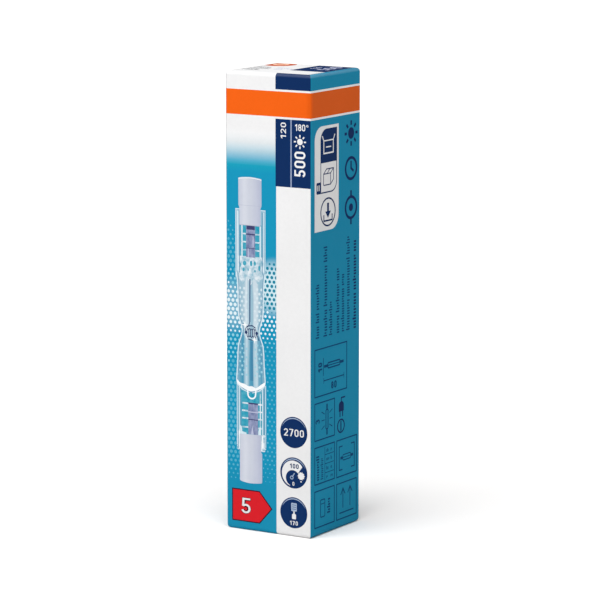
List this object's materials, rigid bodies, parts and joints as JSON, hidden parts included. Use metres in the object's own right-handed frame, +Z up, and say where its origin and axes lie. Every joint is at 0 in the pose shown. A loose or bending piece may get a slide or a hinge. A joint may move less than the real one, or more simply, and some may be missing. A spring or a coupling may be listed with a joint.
{
  "type": "closed folding carton for a small linear lamp",
  "caption": "Slim upright folding carton for a small linear lamp, closed at both ends, with crisp creases, soft end folds and a glued side seam.",
  "frame": {"origin": "middle of the base, on the surface that the carton stands on", "axes": "+Z up along the carton's height, front panel towards -Y, +X to the right when the front panel is looked at"},
  "size_m": [0.0214, 0.0206, 0.1],
  "materials": {
    "printed_board": "satin varnished print on white coated folding boxboard"
  },
  "bodies": {
    "root": {"carton": "printed_board"}
  },
  "joints": []
}
